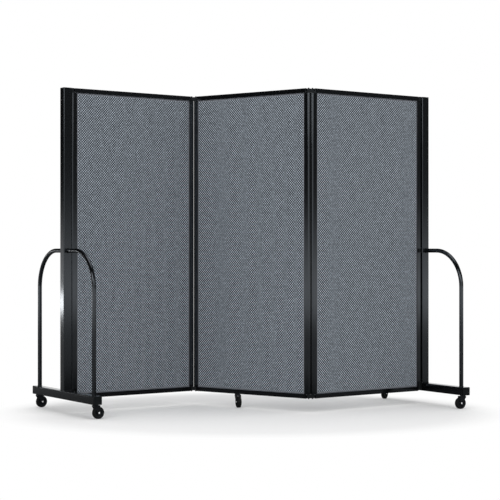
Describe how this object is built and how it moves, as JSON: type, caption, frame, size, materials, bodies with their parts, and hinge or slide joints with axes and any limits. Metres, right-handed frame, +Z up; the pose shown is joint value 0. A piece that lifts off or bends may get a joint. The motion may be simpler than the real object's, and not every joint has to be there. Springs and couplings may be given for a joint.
{
  "type": "folding ward privacy screen",
  "caption": "Folding fabric privacy screen on casters: framed panels on full-height hinges between end posts with hoop braces and base beams.",
  "frame": {"origin": "on the floor under the middle of the screen's bounding box", "axes": "+X along the run of the screen to the right as seen from the front, +Y to the back, +Z up"},
  "size_m": [2.2892, 1.0364, 1.6525],
  "materials": {
    "frame_coat": "black satin anodised aluminium section",
    "tube_coat": "satin black powder coat on steel tube",
    "fork_coat": "satin black caster housing",
    "moulding": "fine-grained black moulding",
    "rod_steel": "blackened steel rod",
    "fabric": "grey-blue hopsack weave over a board",
    "axle_steel": "zinc-plated rivet",
    "wheel_rubber": "dark grey rubber tread on a moulded wheel"
  },
  "bodies": {
    "middle_panel": {"middle_panel_bottom_rail": "frame_coat", "middle_panel_top_rail": "frame_coat", "middle_panel_left_stile": "frame_coat", "middle_panel_right_stile": "frame_coat", "middle_panel_fabric_board": "fabric"},
    "left_hinge": {"left_hinge_bottom_link": "moulding", "left_hinge_top_link": "moulding", "left_hinge_left_rod": "rod_steel", "left_hinge_right_rod": "rod_steel"},
    "left_panel": {"left_panel_bottom_rail": "frame_coat", "left_panel_top_rail": "frame_coat", "left_panel_left_stile": "frame_coat", "left_panel_right_stile": "frame_coat", "left_panel_fabric_board": "fabric"},
    "left_end": {"left_end_bottom_hinge_bracket": "moulding", "left_end_middle_hinge_bracket": "moulding", "left_end_top_hinge_bracket": "moulding", "left_end_hinge_rod": "rod_steel", "left_end_post": "tube_coat", "left_end_post_cap": "moulding", "left_end_base_beam": "tube_coat", "left_end_front_beam_cap": "moulding", "left_end_rear_beam_cap": "moulding", "left_end_hoop": "tube_coat"},
    "right_hinge": {"right_hinge_bottom_link": "moulding", "right_hinge_top_link": "moulding", "right_hinge_left_rod": "rod_steel", "right_hinge_right_rod": "rod_steel"},
    "right_panel": {"right_panel_bottom_rail": "frame_coat", "right_panel_top_rail": "frame_coat", "right_panel_left_stile": "frame_coat", "right_panel_right_stile": "frame_coat", "right_panel_fabric_board": "fabric"},
    "right_end": {"right_end_bottom_hinge_bracket": "moulding", "right_end_middle_hinge_bracket": "moulding", "right_end_top_hinge_bracket": "moulding", "right_end_hinge_rod": "rod_steel", "right_end_post": "tube_coat", "right_end_post_cap": "moulding", "right_end_base_beam": "tube_coat", "right_end_front_beam_cap": "moulding", "right_end_rear_beam_cap": "moulding", "right_end_hoop": "tube_coat"},
    "left_front_caster": {"left_end_front_caster_fork": "fork_coat", "left_end_front_caster_axle": "axle_steel"},
    "left_front_wheel": {"left_end_front_caster_wheel": "wheel_rubber"},
    "left_rear_caster": {"left_end_rear_caster_fork": "fork_coat", "left_end_rear_caster_axle": "axle_steel"},
    "left_rear_wheel": {"left_end_rear_caster_wheel": "wheel_rubber"},
    "middle_caster": {"middle_caster_fork": "fork_coat", "middle_caster_axle": "axle_steel"},
    "middle_wheel": {"middle_caster_wheel": "wheel_rubber"},
    "right_front_caster": {"right_end_front_caster_fork": "fork_coat", "right_end_front_caster_axle": "axle_steel"},
    "right_front_wheel": {"right_end_front_caster_wheel": "wheel_rubber"},
    "right_rear_caster": {"right_end_rear_caster_fork": "fork_coat", "right_end_rear_caster_axle": "axle_steel"},
    "right_rear_wheel": {"right_end_rear_caster_wheel": "wheel_rubber"}
  },
  "joints": [
    {"name": "left_hinge_inner_pin", "type": "hinge", "parent": "middle_panel", "child": "left_hinge", "pos_m": [-0.29113, 0.19461, 0], "axis": [0, 0, 1], "range_deg": [-124.5, 55.5]},
    {"name": "left_hinge_outer_pin", "type": "hinge", "parent": "left_hinge", "child": "left_panel", "pos_m": [-0.31313, 0.19461, 0], "axis": [0, 0, 1], "range_deg": [-124.5, 55.5]},
    {"name": "right_hinge_inner_pin", "type": "hinge", "parent": "middle_panel", "child": "right_hinge", "pos_m": [0.29812, -0.21037, 0], "axis": [0, 0, 1], "range_deg": [-144.5, 35.5]},
    {"name": "right_hinge_outer_pin", "type": "hinge", "parent": "right_hinge", "child": "right_panel", "pos_m": [0.31879, -0.20285, 0], "axis": [0, 0, 1], "range_deg": [-104.5, 75.5]},
    {"name": "left_end_pin", "type": "hinge", "parent": "left_panel", "child": "left_end", "pos_m": [-0.90238, -0.21037, 0], "axis": [0, 0, -1], "range_deg": [-90, 90]},
    {"name": "right_end_pin", "type": "hinge", "parent": "right_panel", "child": "right_end", "pos_m": [0.90804, 0.20213, 0], "axis": [0, 0, -1], "range_deg": [-90, 90]},
    {"name": "left_front_swivel", "type": "hinge", "parent": "left_end", "child": "left_front_caster", "pos_m": [-0.75749, -0.4821, 0.075], "axis": [0, 0, 1], "continuous": true},
    {"name": "left_front_roll", "type": "hinge", "parent": "left_front_caster", "child": "left_front_wheel", "pos_m": [-0.74407, -0.47338, 0.03], "axis": [-0.5446, 0.8387, 0], "continuous": true},
    {"name": "left_rear_swivel", "type": "hinge", "parent": "left_end", "child": "left_rear_caster", "pos_m": [-1.1098, 0.03051, 0.075], "axis": [0, 0, 1], "continuous": true},
    {"name": "left_rear_roll", "type": "hinge", "parent": "left_rear_caster", "child": "left_rear_wheel", "pos_m": [-1.09719, 0.04036, 0.03], "axis": [-0.6157, 0.788, 0], "continuous": true},
    {"name": "middle_swivel", "type": "hinge", "parent": "middle_panel", "child": "middle_caster", "pos_m": [-0.06532, 0.03941, 0.075], "axis": [0, 0, 1], "continuous": true},
    {"name": "middle_roll", "type": "hinge", "parent": "middle_caster", "child": "middle_wheel", "pos_m": [-0.06037, 0.0242, 0.03], "axis": [0.9511, 0.309, 0], "continuous": true},
    {"name": "right_front_swivel", "type": "hinge", "parent": "right_end", "child": "right_front_caster", "pos_m": [1.1098, -0.03051, 0.075], "axis": [0, 0, 1], "continuous": true},
    {"name": "right_front_roll", "type": "hinge", "parent": "right_front_caster", "child": "right_front_wheel", "pos_m": [1.09554, -0.03777, 0.03], "axis": [0.454, -0.891, 0], "continuous": true},
    {"name": "right_rear_swivel", "type": "hinge", "parent": "right_end", "child": "right_rear_caster", "pos_m": [0.75749, 0.4821, 0.075], "axis": [0, 0, 1], "continuous": true},
    {"name": "right_rear_roll", "type": "hinge", "parent": "right_rear_caster", "child": "right_rear_wheel", "pos_m": [0.74949, 0.46824, 0.03], "axis": [0.866, -0.5, 0], "continuous": true}
  ]
}
